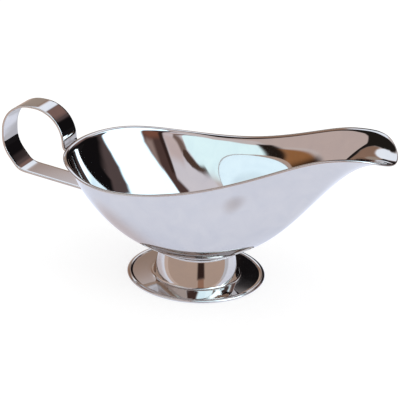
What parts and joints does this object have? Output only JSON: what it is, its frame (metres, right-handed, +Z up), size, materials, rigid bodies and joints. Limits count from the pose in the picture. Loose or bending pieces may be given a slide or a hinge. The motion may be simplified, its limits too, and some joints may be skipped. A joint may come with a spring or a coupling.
{
  "type": "sauce boat",
  "caption": "Mirror-polished sauce boat: a drawn bowl with a raised pouring lip, welded to a spun pedestal foot and a bent strap handle. It holds about 155 ml.",
  "frame": {"origin": "middle of the whole boat's footprint, at the level it rests on", "axes": "+X from the handle to the pouring lip, +Y across the bowl, +Z up"},
  "size_m": [0.1816, 0.086, 0.0746],
  "materials": {
    "bowl_steel": "stainless steel, mirror-polished",
    "foot_steel": "stainless steel, mirror-polished",
    "strap_steel": "stainless steel, mirror-polished",
    "weld_steel": "stainless steel weld metal, as welded"
  },
  "bodies": {
    "root": {"bowl": "bowl_steel", "foot": "foot_steel", "handle": "strap_steel", "foot_weld_1": "weld_steel", "foot_weld_2": "weld_steel", "foot_weld_3": "weld_steel", "foot_weld_4": "weld_steel", "handle_upper_weld_1": "weld_steel", "handle_upper_weld_2": "weld_steel", "handle_lower_weld_1": "weld_steel", "handle_lower_weld_2": "weld_steel"}
  },
  "joints": []
}
